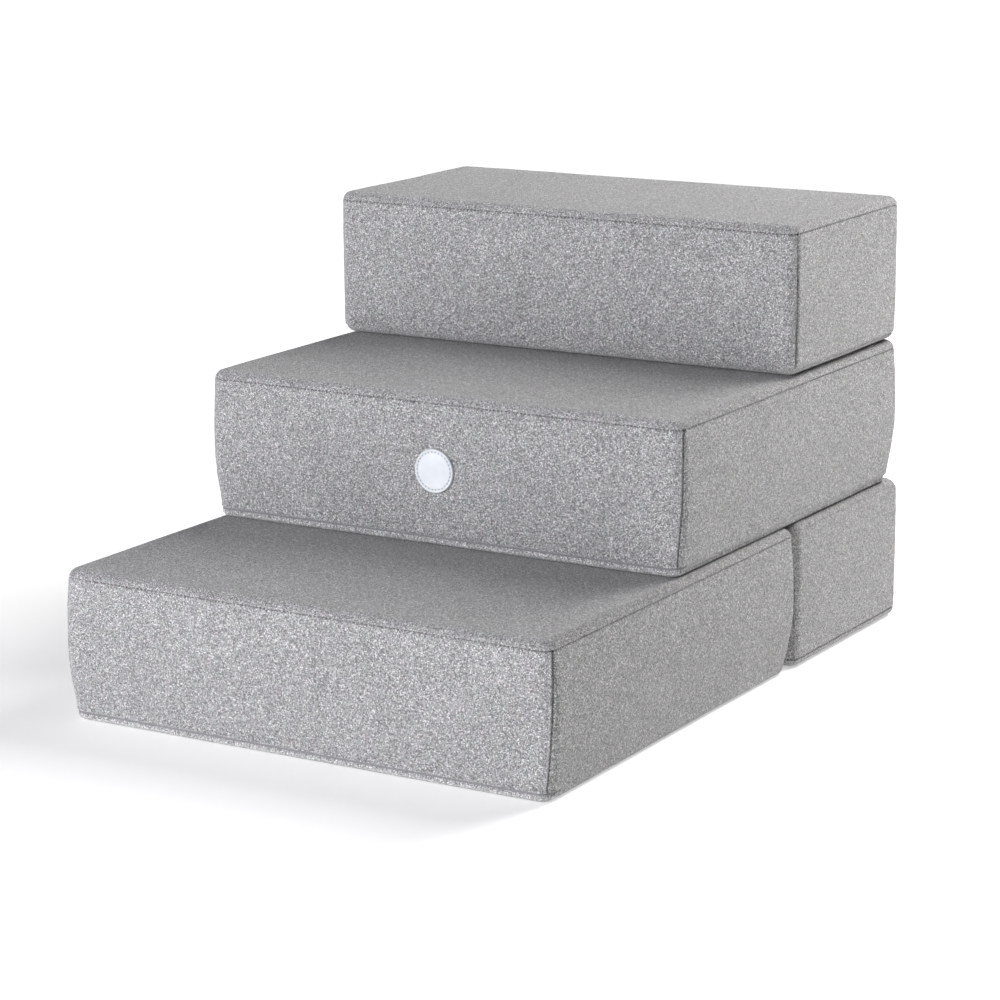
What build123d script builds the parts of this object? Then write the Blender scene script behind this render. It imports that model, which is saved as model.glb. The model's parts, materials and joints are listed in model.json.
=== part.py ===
"""Folding foam pet steps: two hinged cushion modules, one stacked on the other.

Each module is a large cushion block with a small block hinged to the top of its rear edge. The lower module
lies open, so its small block fills the floor behind the large one. The upper module stands on it, folded,
so its small block makes the top step. Three steps of equal height come from the four blocks.

Frame: +X to the right, +Y from the front step to the back, +Z up. The origin is on the floor, under the
middle of the whole object. Units are millimetres.
"""

import os
from math import atan2, cos, radians, sin

from build123d import *

# Driving dimensions
WIDTH = 500.0  # every block, left to right
BLOCK_HEIGHT = 140.0  # every block
LARGE_DEPTH = 460.0  # the two-tread blocks
SMALL_DEPTH = 236.0  # the one-tread blocks
FOLD_GAP = 6.0  # between the facing ends of two hinged blocks that lie flat
STACK_GAP = 2.0  # between two blocks that lie on each other
UPPER_FORWARD = 12.0  # how far the upper module stands forward of the lower one's rear face
CLOTH = 1.6  # upholstery cloth with its lining
FOAM_PLAY = 0.3  # between the foam and its cover

# Block shape
CORNER_RADIUS = 12.0  # upright edges
TOP_RADIUS = 8.0  # edges round a seamed top
FOOT_RADIUS = 5.0  # edges round a zipped base
WRAP_RADIUS = 11.5  # unseamed edges of a small block
WAIST = 60.0  # height under which a large block narrows
SIDE_INSET = 4.0  # how far its base draws in at each side
FRONT_INSET = 2.0
REAR_INSET = 7.0

# Seams
TOP_SEAM = 8.0  # below the top
WRAP_SEAM = 5.0  # above the underside of a small block
CORNER_SEAM_ANGLE = 25.0  # of an upright seam round its corner, from the side
ZIP_SLIT = 3.0  # height of the slit that shows a zip's coil
BASE_RIM = 6.0  # height of the base panel's turned-up rim
COIL_RECESS = 0.6  # of the coil behind the cloth's face

# Hinge tapes, fastening strips and patch
TAPE_LENGTH = 470.0
TAPE_REACH = 28.0  # of each half, from the fold line
TAPE_SPLIT = 0.1  # of each half's edge from the fold line
STRIP_LENGTH = 400.0
STRIP_WIDTH = 30.0
STRIP_THICKNESS = 0.95
STRIP_CORNER = 0.3
STRIP_SETBACK = 45.0  # of each fastening strip from the end of the upper large block
PATCH_RADIUS = 20.5
PATCH_THICKNESS = 2.2
PATCH_CENTRE = (-1.0, 70.0)  # across and up, from the middle step's front bottom edge
STITCH_RING = 17.6
STITCH_COUNT = 30
STITCH_LENGTH = 2.3
STITCH_WIDTH = 0.8
STITCH_HEIGHT = 0.4
PATCH_EDGE = 0.7

# Zip slider and pull, measured along the coil, across it and out from the cloth
PLATE = (10.0, 8.0, 1.0)
PLATE_CORNER = 1.5
PLATE_STANDOFF = 0.5
NECK = (6.0, 1.6, 0.7)
CROWN_LENGTH = 7.0
CROWN_WIDTH = 2.2
CROWN_RISE = 1.7
CROWN_BAR = 0.7
POST_LENGTH = 1.0
PULL_WIDTH = 7.0
PULL_THICKNESS = 1.0
PULL_LENGTH = 24.0
PULL_ARM = 1.0
PULL_WINDOW = 5.5  # length of the opening that the crown stands in
PULL_CORNER = 0.45
PULL_HOLE_RADIUS = 1.4
PULL_HOLE_SETBACK = 4.0  # of the hole from the grip's end
PULL_DROP = 0.05  # of the bar below the middle of the crown's opening
LARGE_ZIP_PARK = 45.0  # slider to the rear end of its block
SMALL_ZIP_PARK = 45.0  # slider to the left end of its block

# Places worked out from those
BLOCKS_DEPTH = LARGE_DEPTH + FOLD_GAP + SMALL_DEPTH
FRONT = -BLOCKS_DEPTH / 2
BACK = FRONT + BLOCKS_DEPTH
UPPER_BACK = BACK - UPPER_FORWARD
STEP_RISE = BLOCK_HEIGHT + STACK_GAP
LOWER_Y = FRONT + LARGE_DEPTH / 2
REAR_Y = BACK - SMALL_DEPTH / 2
MIDDLE_Y = UPPER_BACK - LARGE_DEPTH / 2
TOP_Y = UPPER_BACK - SMALL_DEPTH / 2
HALF_WIDTH = WIDTH / 2
SEAM_Z = BLOCK_HEIGHT - TOP_SEAM
SLIT_TOP = BASE_RIM + ZIP_SLIT
SMALL_SLIT_BOTTOM = SEAM_Z - ZIP_SLIT
TAPE_THICKNESS = STACK_GAP / 2 - 0.1
WALL_LEAN = atan2(SIDE_INSET, WAIST)

PARTS = {}


def keep(name, part):
    """Labels a finished piece and holds it for export."""
    part.label = name
    PARTS[name] = part


def above(z):
    """A cutting plane that keeps what lies above z."""
    return Plane(origin=(0, 0, z), z_dir=(0, 0, 1))


def below(z):
    """A cutting plane that keeps what lies below z."""
    return Plane(origin=(0, 0, z), z_dir=(0, 0, -1))


def large_solid(inset):
    """A large block, drawn in by inset all round: a box that narrows towards its base."""
    with BuildPart() as block:
        with BuildSketch(Plane.XY.offset(WAIST)):
            RectangleRounded(WIDTH - 2 * inset, LARGE_DEPTH - 2 * inset, CORNER_RADIUS - inset)
        extrude(amount=BLOCK_HEIGHT - inset - WAIST)
        with BuildSketch(Plane.XY.offset(inset)):
            with Locations((0, (FRONT_INSET - REAR_INSET) / 2)):
                RectangleRounded(
                    WIDTH - 2 * (SIDE_INSET + inset),
                    LARGE_DEPTH - FRONT_INSET - REAR_INSET - 2 * inset,
                    CORNER_RADIUS - inset,
                )
        with BuildSketch(Plane.XY.offset(WAIST)):
            RectangleRounded(WIDTH - 2 * inset, LARGE_DEPTH - 2 * inset, CORNER_RADIUS - inset)
        loft(ruled=True)
        fillet(block.faces().sort_by(Axis.Z)[-1].edges(), TOP_RADIUS - inset)
        fillet(block.faces().sort_by(Axis.Z)[0].edges(), FOOT_RADIUS - inset)
    return block.part


def small_solid(inset):
    """A small block as it lies folded, drawn in by inset all round: a box with rounded edges."""
    with BuildPart() as block:
        with BuildSketch(Plane.XY.offset(inset)):
            RectangleRounded(WIDTH - 2 * inset, SMALL_DEPTH - 2 * inset, CORNER_RADIUS - inset)
        extrude(amount=BLOCK_HEIGHT - 2 * inset)
        fillet(block.faces().sort_by(Axis.Z)[-1].edges(), TOP_RADIUS - inset)
        fillet(block.faces().sort_by(Axis.Z)[0].edges(), WRAP_RADIUS - inset)
    return block.part


def corner_planes(depth):
    """Upright cutting planes through the four rounded corners of a block of that depth.

    Each is keyed by its corner and keeps the side panel's side of the seam.
    """
    lean = radians(CORNER_SEAM_ANGLE)
    centre_x = HALF_WIDTH - CORNER_RADIUS
    centre_y = depth / 2 - CORNER_RADIUS
    planes = {}
    for corner, across, along in (
        ("front_right", 1, -1),
        ("front_left", -1, -1),
        ("rear_right", 1, 1),
        ("rear_left", -1, 1),
    ):
        planes[corner] = Plane(
            origin=(across * centre_x, along * centre_y, 0),
            z_dir=(across * sin(lean), -along * cos(lean), 0),
        )
    return planes


def cut_panel(source, *planes):
    """The piece of source on the kept side of every plane."""
    with BuildPart() as panel:
        add(source)
        for plane in planes:
            split(bisect_by=plane, keep=Keep.TOP)
    return panel.part


def shell_of(solid, inset_from, inset_to):
    """The layer of a block between two insets."""
    with BuildPart() as layer:
        add(solid(inset_from))
        add(solid(inset_to), mode=Mode.SUBTRACT)
    return layer.part


def wall_panels(layer, depth, side_low, rear_low, side_high, rear_high):
    """The four upright panels of a cover, cut at its corner seams.

    The side heights hold for the front panel too.
    """
    seam = corner_planes(depth)
    front = cut_panel(
        layer, above(side_low), below(side_high), -seam["front_right"], -seam["front_left"], Plane.XZ
    )
    rear = cut_panel(
        layer, above(rear_low), below(rear_high), -seam["rear_right"], -seam["rear_left"], -Plane.XZ
    )
    right = cut_panel(
        layer, above(side_low), below(side_high), seam["front_right"], seam["rear_right"], Plane.YZ
    )
    left = cut_panel(
        layer, above(side_low), below(side_high), seam["front_left"], seam["rear_left"], -Plane.YZ
    )
    return {"front_panel": front, "rear_panel": rear, "right_panel": right, "left_panel": left}


def large_pieces():
    """Foam, cover panels and zip coil of a large block, in the block's own frame."""
    cover = shell_of(large_solid, 0, CLOTH)
    seam = corner_planes(LARGE_DEPTH)
    coil_layer = shell_of(large_solid, COIL_RECESS, CLOTH)
    coil_band = cut_panel(coil_layer, above(BASE_RIM), below(SLIT_TOP))
    coil_front = cut_panel(coil_band, -seam["front_right"], -seam["front_left"], Plane.XZ)
    coil_right = cut_panel(coil_band, seam["front_right"], seam["rear_right"], Plane.YZ)
    coil_left = cut_panel(coil_band, seam["front_left"], seam["rear_left"], -Plane.YZ)
    with BuildPart() as coil:
        add(coil_front)
        add(coil_right)
        add(coil_left)
    pieces = {
        "foam_core": large_solid(CLOTH + FOAM_PLAY),
        "tread_panel": cut_panel(cover, above(SEAM_Z)),
        "base_panel": cut_panel(cover, below(BASE_RIM)),
        "zip_coil": coil.part,
    }
    pieces.update(wall_panels(cover, LARGE_DEPTH, SLIT_TOP, BASE_RIM, SEAM_Z, SEAM_Z))
    return pieces


def small_pieces():
    """Foam, cover panels and zip coil of a small block as it lies folded, in the block's own frame.

    The front panel carries on round the underside, and the zip is in the seam at the top of the rear.
    """
    cover = shell_of(small_solid, 0, CLOTH)
    seam = corner_planes(SMALL_DEPTH)
    coil_layer = shell_of(small_solid, COIL_RECESS, CLOTH)
    walls = wall_panels(cover, SMALL_DEPTH, WRAP_SEAM, WRAP_SEAM, SEAM_Z, SMALL_SLIT_BOTTOM)
    with BuildPart() as wrap:
        add(walls.pop("front_panel"))
        add(cut_panel(cover, below(WRAP_SEAM)))
    pieces = {
        "foam_core": small_solid(CLOTH + FOAM_PLAY),
        "cap_panel": cut_panel(cover, above(SEAM_Z)),
        "wrap_panel": wrap.part,
        "zip_panel": walls.pop("rear_panel"),
        "zip_coil": cut_panel(
            coil_layer,
            above(SMALL_SLIT_BOTTOM),
            below(SEAM_Z),
            -seam["rear_right"],
            -seam["rear_left"],
            -Plane.XZ,
        ),
    }
    pieces.update(walls)
    return pieces


def slider_on(plane):
    """A zip slider: plate over the coil, neck in the slit, and a crown that holds the pull."""
    with BuildPart(plane) as slider:
        plate_top = PLATE_STANDOFF + PLATE[2]
        with Locations((0, 0, PLATE_STANDOFF)):
            Box(*PLATE, align=(Align.CENTER, Align.CENTER, Align.MIN))
        uprights = slider.edges().filter_by(lambda edge: abs(edge.tangent_at(0).dot(plane.z_dir)) > 0.99)
        fillet(uprights, PLATE_CORNER)
        with Locations((0, 0, PLATE_STANDOFF)):
            Box(*NECK, align=(Align.CENTER, Align.CENTER, Align.MAX))
        post_x = (CROWN_LENGTH - POST_LENGTH) / 2
        with Locations((-post_x, 0, plate_top), (post_x, 0, plate_top)):
            Box(POST_LENGTH, CROWN_WIDTH, CROWN_RISE, align=(Align.CENTER, Align.CENTER, Align.MIN))
        with Locations((0, 0, plate_top + CROWN_RISE)):
            Box(CROWN_LENGTH, CROWN_WIDTH, CROWN_BAR, align=(Align.CENTER, Align.CENTER, Align.MIN))
    return slider.part


def pull_on(plane):
    """A zip pull: its end bar lies under the crown, and its grip lies flat along the coil."""
    bar_height = PLATE_STANDOFF + PLATE[2] + CROWN_RISE / 2 - PULL_DROP
    half_bar = PULL_THICKNESS / 2
    with BuildPart() as pull:
        with BuildSketch(plane.offset(bar_height - half_bar)):
            with Locations((PULL_LENGTH / 2, 0)):
                RectangleRounded(PULL_LENGTH + PULL_THICKNESS, PULL_WIDTH, PULL_CORNER)
            with Locations(((PULL_WINDOW + half_bar) / 2, 0)):
                Rectangle(PULL_WINDOW - half_bar, PULL_WIDTH - 2 * PULL_ARM, mode=Mode.SUBTRACT)
            with Locations((PULL_LENGTH - PULL_HOLE_SETBACK, 0)):
                Circle(PULL_HOLE_RADIUS, mode=Mode.SUBTRACT)
        extrude(amount=PULL_THICKNESS)
    return pull.part


def large_zip_plane(block_y, floor_z):
    """Where a large block's slider sits, on its left side: x_dir along the coil, z_dir out of the cloth."""
    slit_middle = BASE_RIM + ZIP_SLIT / 2
    narrowing = SIDE_INSET * (1 - slit_middle / WAIST)
    return Plane(
        origin=(narrowing - HALF_WIDTH, block_y + LARGE_DEPTH / 2 - LARGE_ZIP_PARK, floor_z + slit_middle),
        x_dir=(0, -1, 0),
        z_dir=(-cos(WALL_LEAN), 0, -sin(WALL_LEAN)),
    )


def small_zip_plane(face_y, slit_z, facing):
    """Where a small block's slider sits, on the face that points along facing times Y."""
    return Plane(
        origin=(SMALL_ZIP_PARK - HALF_WIDTH, face_y, slit_z),
        x_dir=(1, 0, 0),
        z_dir=(0, facing, 0),
    )


def place(prefix, pieces, location):
    """Puts a block's pieces where the block stands, and keeps them under the block's name."""
    for name, piece in pieces.items():
        with BuildPart() as placed:
            with Locations(location):
                add(piece)
        keep(f"{prefix}_{name}", placed.part)


def strip_at(along, z_low, length, width, thickness):
    """A flat strip across the object, centred left to right, with its underside at z_low."""
    with BuildPart() as strip:
        with BuildSketch(Plane(origin=(0, along, z_low))):
            RectangleRounded(length, width, STRIP_CORNER)
        extrude(amount=thickness)
    return strip.part


def main():
    # The four cushion blocks
    large = large_pieces()
    small = small_pieces()
    place("lower_step", large, Location((0, LOWER_Y, 0)))
    place("rear_base", small, Location((0, REAR_Y, BLOCK_HEIGHT), (180, 0, 0)))
    place("middle_step", large, Location((0, MIDDLE_Y, STEP_RISE)))
    place("top_step", small, Location((0, TOP_Y, 2 * STEP_RISE)))

    # Zip sliders and pulls
    small_slit_z = SEAM_Z - ZIP_SLIT / 2
    zips = {
        "lower_step": large_zip_plane(LOWER_Y, 0),
        "middle_step": large_zip_plane(MIDDLE_Y, STEP_RISE),
        "top_step": small_zip_plane(UPPER_BACK, 2 * STEP_RISE + small_slit_z, 1),
        "rear_base": small_zip_plane(BACK - SMALL_DEPTH, BLOCK_HEIGHT - small_slit_z, -1),
    }
    for block, plane in zips.items():
        keep(f"{block}_zip_slider", slider_on(plane))
        keep(f"{block}_zip_pull", pull_on(plane))

    # Hinge tapes: one half sewn to each block, meeting at the fold line
    base_fold_y = FRONT + LARGE_DEPTH + FOLD_GAP / 2
    top_fold_y = UPPER_BACK + FOLD_GAP / 2
    offset_y = (TAPE_REACH + TAPE_SPLIT) / 2
    halves = {
        "base_hinge_tape_front": (base_fold_y - offset_y, BLOCK_HEIGHT),
        "base_hinge_tape_rear": (base_fold_y + offset_y, BLOCK_HEIGHT),
        "top_hinge_tape_lower": (top_fold_y - offset_y, STEP_RISE + BLOCK_HEIGHT),
        "top_hinge_tape_upper": (top_fold_y - offset_y, 2 * STEP_RISE - TAPE_THICKNESS),
    }
    for name, (along, z_low) in halves.items():
        keep(name, strip_at(along, z_low, TAPE_LENGTH, TAPE_REACH - TAPE_SPLIT, TAPE_THICKNESS))

    # Hook-and-loop strips that hold the upper module on the lower one
    front_strip_y = MIDDLE_Y - LARGE_DEPTH / 2 + STRIP_SETBACK
    rear_strip_y = UPPER_BACK - STRIP_SETBACK
    strips = {
        "middle_step_hook_strip_front": (front_strip_y, STEP_RISE - STRIP_THICKNESS),
        "middle_step_hook_strip_rear": (rear_strip_y, STEP_RISE - STRIP_THICKNESS),
        "lower_step_loop_strip": (front_strip_y, BLOCK_HEIGHT),
        "rear_base_loop_strip": (rear_strip_y, BLOCK_HEIGHT),
    }
    for name, (along, z_low) in strips.items():
        keep(name, strip_at(along, z_low, STRIP_LENGTH, STRIP_WIDTH, STRIP_THICKNESS))

    # Round patch on the middle step's front, with its ring of stitches
    face = Plane(
        origin=(PATCH_CENTRE[0], MIDDLE_Y - LARGE_DEPTH / 2, STEP_RISE + PATCH_CENTRE[1]),
        x_dir=(1, 0, 0),
        z_dir=(0, -1, 0),
    )
    with BuildPart(face) as patch:
        with BuildSketch(face):
            Circle(PATCH_RADIUS)
        extrude(amount=PATCH_THICKNESS)
        fillet(patch.faces().sort_by(Axis.Y)[0].edges(), PATCH_EDGE)
    keep("patch", patch.part)
    with BuildPart() as stitches:
        with BuildSketch(face.offset(PATCH_THICKNESS)):
            with PolarLocations(STITCH_RING, STITCH_COUNT):
                SlotOverall(STITCH_LENGTH, STITCH_WIDTH, rotation=90)
        extrude(amount=STITCH_HEIGHT)
    keep("patch_stitching", stitches.part)

    # Export
    os.makedirs("parts", exist_ok=True)
    for name, part in PARTS.items():
        export_step(part, f"parts/{name}.step")


main()
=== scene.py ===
"""Looks of the folding foam pet steps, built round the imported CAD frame. Units are metres."""

import json
import math

import bpy
import numpy as np
from mathutils import Euler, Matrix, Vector


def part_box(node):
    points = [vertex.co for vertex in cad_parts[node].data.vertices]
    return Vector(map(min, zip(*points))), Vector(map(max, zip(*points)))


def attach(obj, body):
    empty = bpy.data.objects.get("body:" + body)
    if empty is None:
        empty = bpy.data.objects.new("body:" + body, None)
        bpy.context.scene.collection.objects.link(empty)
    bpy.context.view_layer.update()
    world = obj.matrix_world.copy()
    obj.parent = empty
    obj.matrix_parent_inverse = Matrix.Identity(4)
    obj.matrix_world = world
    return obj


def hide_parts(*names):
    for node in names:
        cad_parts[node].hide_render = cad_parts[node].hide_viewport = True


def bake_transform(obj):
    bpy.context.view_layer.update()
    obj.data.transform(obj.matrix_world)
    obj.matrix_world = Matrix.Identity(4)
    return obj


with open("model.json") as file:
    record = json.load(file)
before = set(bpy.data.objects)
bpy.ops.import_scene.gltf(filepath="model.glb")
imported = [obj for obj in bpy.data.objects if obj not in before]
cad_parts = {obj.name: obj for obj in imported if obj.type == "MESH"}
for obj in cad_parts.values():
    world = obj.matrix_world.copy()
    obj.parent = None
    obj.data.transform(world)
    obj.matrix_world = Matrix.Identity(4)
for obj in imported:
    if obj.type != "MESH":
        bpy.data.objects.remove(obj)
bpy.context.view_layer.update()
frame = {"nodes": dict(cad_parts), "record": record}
MM = 0.001

# Shape of the covers
CORNER_RADIUS = 12 * MM
TOP_RADIUS = 8 * MM
FOOT_RADIUS = 5 * MM
WRAP_RADIUS = 11.5 * MM
TOP_SEAM_DROP = 8 * MM
WRAP_SEAM_RISE = 5 * MM
CORNER_SEAM_ANGLE = math.radians(25)
CORNER_SEAM_OFFSET = CORNER_RADIUS * (1 - math.tan(CORNER_SEAM_ANGLE))
WAIST = 60 * MM
SIDE_INSET = 4 * MM
FRONT_INSET = 2 * MM
REAR_INSET = 7 * MM
SLIT_LOW = 6 * MM
SLIT_HIGH = 9 * MM
SLIT_MIDDLE = (SLIT_LOW + SLIT_HIGH) / 2
ZIP_SEAM_DROP = 1.5 * MM  # how far a small block's zip runs below its top seam
TINY = 1e-9


# ---- Numbers over grids ----


def steps_along(length, marks, fine, growth, coarse):
    """Grid positions from 0 to length, close together at the marks and further apart away from them."""
    places = [0.0]
    while places[-1] < length:
        here = places[-1]
        nearest = min(abs(here - mark) for mark in marks)
        places.append(here + min(coarse, fine + growth * nearest))
    return np.array(places) * length / places[-1]


def smooth_noise(points, size, seed):
    """Value noise from -1 to 1 at points, with features about size across."""
    scaled = np.atleast_2d(points) / size + 1000.0
    cell = np.floor(scaled).astype(np.int64)
    part = scaled - cell
    part = part * part * (3 - 2 * part)
    total = np.zeros(len(scaled))
    for corner in range(8):
        offset = np.array([corner & 1, corner >> 1 & 1, corner >> 2 & 1])
        key = (cell + offset) @ np.array([73856093, 19349663, 83492791]) + seed * 2654435761
        key = (key ^ (key >> 13)) * 1274126177 & 0x7FFFFFFF
        key = (key ^ (key >> 15)) * 2246822519 & 0x7FFFFFFF
        weight = np.prod(np.where(offset, part, 1 - part), axis=1)
        total += weight * (key / 0x3FFFFFFF - 1)
    return total


def bump_at(distance, width):
    """1 at no distance, falling off smoothly to 0 over about width."""
    return np.exp(-((distance / width) ** 2))


def hermite_matrix(knots, places):
    """The matrix that turns values at knots into smooth cubic values at places."""
    count = len(knots)
    slopes = np.zeros((count, count))
    for i in range(count):
        low, high = max(i - 1, 0), min(i + 1, count - 1)
        slopes[i, high] += 1 / (knots[high] - knots[low])
        slopes[i, low] -= 1 / (knots[high] - knots[low])
    index = np.clip(np.searchsorted(knots, places, side="right") - 1, 0, count - 2)
    width = knots[index + 1] - knots[index]
    t = ((places - knots[index]) / width)[:, None]
    eye = np.eye(count)
    return (
        (2 * t**3 - 3 * t**2 + 1) * eye[index]
        + (t**3 - 2 * t**2 + t) * width[:, None] * slopes[index]
        + (3 * t**2 - 2 * t**3) * eye[index + 1]
        + (t**3 - t**2) * width[:, None] * slopes[index + 1]
    )


# ---- Cushion blocks ----


class BoxGrid:
    """The skin of a box as one closed mesh of quads, with grid lines at the given places along each axis."""

    def __init__(self, xs, ys, zs):
        self.axes = (xs, ys, zs)
        shape = (len(xs), len(ys), len(zs))
        self.index = np.full(shape, -1, np.int64)
        on_skin = np.ones(shape, bool)
        on_skin[1:-1, 1:-1, 1:-1] = False
        where = np.argwhere(on_skin)
        self.index[tuple(where.T)] = np.arange(len(where))
        self.points = np.stack([self.axes[k][where[:, k]] for k in range(3)], axis=1)
        self.faces, self.sides = self._quads()

    def _quads(self):
        """All quads, facing outwards, and for each the (axis, end) of the side it lies on."""
        faces, sides = [], []
        for axis in range(3):
            for end in (0, -1):
                sheet = np.take(self.index, end, axis=axis)
                quads = np.stack(
                    [sheet[:-1, :-1], sheet[1:, :-1], sheet[1:, 1:], sheet[:-1, 1:]], axis=-1
                ).reshape(-1, 4)
                outwards = (end == -1) == (axis != 1)
                faces.append(quads if outwards else quads[:, ::-1])
                sides.append(np.full(len(quads), axis * 2 + (end == -1)))
        return np.concatenate(faces), np.concatenate(sides)

    def resample(self, values, finer):
        """Values at this grid's points, carried smoothly to the points of a finer grid of the same box."""
        result = np.zeros((len(finer.points), values.shape[1]))
        for axis in range(3):
            first, second = [k for k in range(3) if k != axis]
            to_first = hermite_matrix(self.axes[first], finer.axes[first])
            to_second = hermite_matrix(self.axes[second], finer.axes[second])
            for end in (0, -1):
                coarse_sheet = values[np.take(self.index, end, axis=axis)]
                fine_sheet = np.einsum("ia,abk,jb->ijk", to_first, coarse_sheet, to_second)
                result[np.take(finer.index, end, axis=axis)] = fine_sheet
        return result


def round_off(points, half, height, top_radius, foot_radius):
    """Box-grid points moved onto a box of that half size with rounded edges, standing on z = 0."""
    inner = half - CORNER_RADIUS
    excess = np.maximum(np.abs(points[:, :2]) - inner, 0)
    reach = excess.max(axis=1)
    wall_gap = CORNER_RADIUS - reach
    z = points[:, 2].copy()
    inset = wall_gap.copy()
    for radius, depth, sign, base in (
        (top_radius, height - points[:, 2], -1, height),
        (foot_radius, points[:, 2], 1, 0.0),
    ):
        near = (depth < radius) & (wall_gap < radius)
        on_cap = depth < TINY
        angle = np.where(on_cap, 1 - wall_gap / radius, 1 + depth / radius) * math.pi / 4
        inset = np.where(near, radius * (1 - np.sin(angle)), inset)
        z = np.where(near, base + sign * radius * (1 - np.cos(angle)), z)
    length = np.maximum(np.hypot(excess[:, 0], excess[:, 1]), 1e-12)
    scale = np.where(reach > 0, (CORNER_RADIUS - inset) / length, 0)
    plan = np.sign(points[:, :2]) * (np.minimum(np.abs(points[:, :2]), inner) + excess * scale[:, None])
    return np.column_stack([plan, z])


def draw_in_base(points, half, height_of_waist):
    """Narrows a large block towards its base, as its tight cover does."""
    t = np.clip(1 - points[:, 2] / height_of_waist, 0, 1) ** 1.25
    result = points.copy()
    result[:, 0] *= 1 - SIDE_INSET / half[0] * t
    inset = np.where(points[:, 1] < 0, FRONT_INSET, REAR_INSET)
    result[:, 1] *= 1 - inset / half[1] * t
    return result


def linked_object(name, data):
    """A new object in the scene that shows the data."""
    obj = bpy.data.objects.new(name, data)
    bpy.context.scene.collection.objects.link(obj)
    return obj


def mesh_object(name, points, faces):
    mesh = bpy.data.meshes.new(name)
    mesh.from_pydata(points.tolist(), [], faces if isinstance(faces, list) else faces.tolist())
    mesh.update()
    obj = linked_object(name, mesh)
    mesh.polygons.foreach_set("use_smooth", np.ones(len(mesh.polygons), bool))
    return obj


def set_values(obj, name, values):
    """Gives a piece's points an attribute that its material reads."""
    attribute = obj.data.attributes.new(name, "FLOAT", "POINT")
    attribute.data.foreach_set("value", values.astype(np.float32))


def points_of(mesh):
    flat = np.zeros(len(mesh.vertices) * 3, np.float32)
    mesh.vertices.foreach_get("co", flat)
    return flat.reshape(-1, 3).astype(float)


def normals_of(points, faces):
    """Vertex normals of a quad mesh, weighted by area."""
    diagonal_1 = points[faces[:, 2]] - points[faces[:, 0]]
    diagonal_2 = points[faces[:, 3]] - points[faces[:, 1]]
    face_normals = np.cross(diagonal_1, diagonal_2)
    total = np.zeros_like(points)
    for corner in range(4):
        np.add.at(total, faces[:, corner], face_normals)
    return total / np.maximum(np.linalg.norm(total, axis=1), 1e-12)[:, None]


INFLATE_FRAMES = 20
INFLATE_PRESSURE = 4.0
INFLATE_CELL = 11 * MM
EDGE_HOLD = 25 * MM  # how far in from its edges the foam holds the cover's shape


def inflate(grid, points, half, height, share, cap):
    """How far each point of a cover moves when its foam presses it tight, from a cloth simulation.

    The foam's edges hold the cover there, so each face crowns by itself. The foam is firm, so only a share of
    the free movement is kept, and it is capped.
    """
    obj = mesh_object("inflating", points, grid.faces)
    box = grid.points
    from_ends = np.minimum(box[:, 2], height - box[:, 2])
    to_edge = np.sort(np.column_stack([half - np.abs(box[:, :2]), from_ends]), axis=1)[:, 1]
    hold = obj.vertex_groups.new(name="hold")
    weights = np.exp(-to_edge / EDGE_HOLD)
    for i, weight in enumerate(weights):
        hold.add([i], float(weight), "REPLACE")
    cloth = obj.modifiers.new("cloth", "CLOTH")
    settings = cloth.settings
    settings.quality = 6
    settings.vertex_group_mass = "hold"
    settings.pin_stiffness = 1.0
    settings.use_pressure = True
    settings.uniform_pressure_force = INFLATE_PRESSURE
    settings.effector_weights.gravity = 0
    settings.tension_stiffness = 30
    settings.compression_stiffness = 30
    settings.shear_stiffness = 10
    settings.bending_stiffness = 2
    scene = bpy.context.scene
    scene.frame_start, scene.frame_end = 1, INFLATE_FRAMES
    for step in range(1, INFLATE_FRAMES + 1):
        scene.frame_set(step)
    evaluated = obj.evaluated_get(bpy.context.evaluated_depsgraph_get())
    shift = (points_of(evaluated.data) - points) * share
    bpy.data.objects.remove(obj)
    scene.frame_set(1)
    length = np.maximum(np.linalg.norm(shift, axis=1), TINY)
    return shift * (cap * np.tanh(length / cap) / length)[:, None]


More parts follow.
